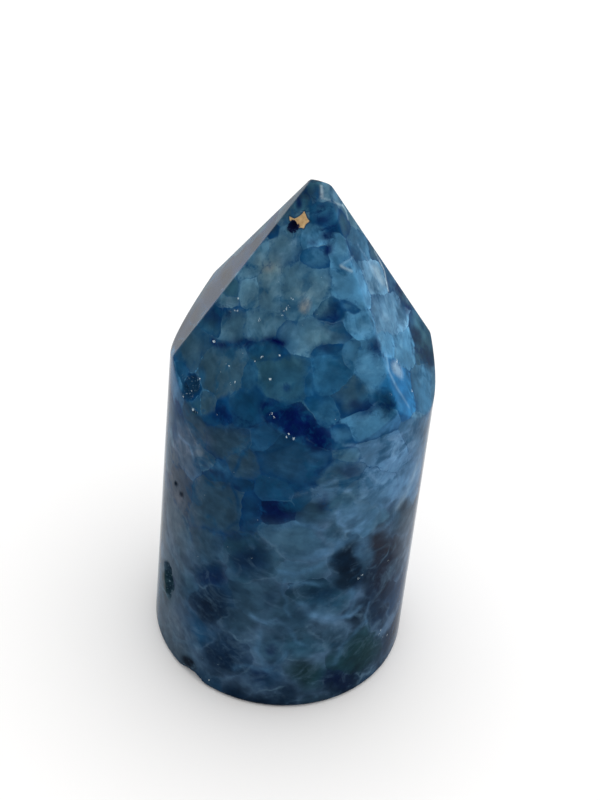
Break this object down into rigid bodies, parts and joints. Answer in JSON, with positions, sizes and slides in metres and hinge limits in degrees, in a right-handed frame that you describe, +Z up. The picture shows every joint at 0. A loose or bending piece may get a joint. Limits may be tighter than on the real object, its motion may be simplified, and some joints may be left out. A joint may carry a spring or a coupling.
{
  "type": "polished agate point",
  "caption": "Cut and polished crackle agate tower: a round body with a flat foot and a faceted pyramid point, dyed blue in a net of healed cracks, with small natural pits and chips.",
  "frame": {"origin": "middle of the flat foot", "axes": "+Z up along the body towards the point, -Y the side that faces the viewer"},
  "size_m": [0.038, 0.038, 0.0834],
  "materials": {
    "agate": "polished, dyed blue in cells between darker healed cracks"
  },
  "bodies": {
    "root": {"agate_point": "agate"}
  },
  "joints": []
}
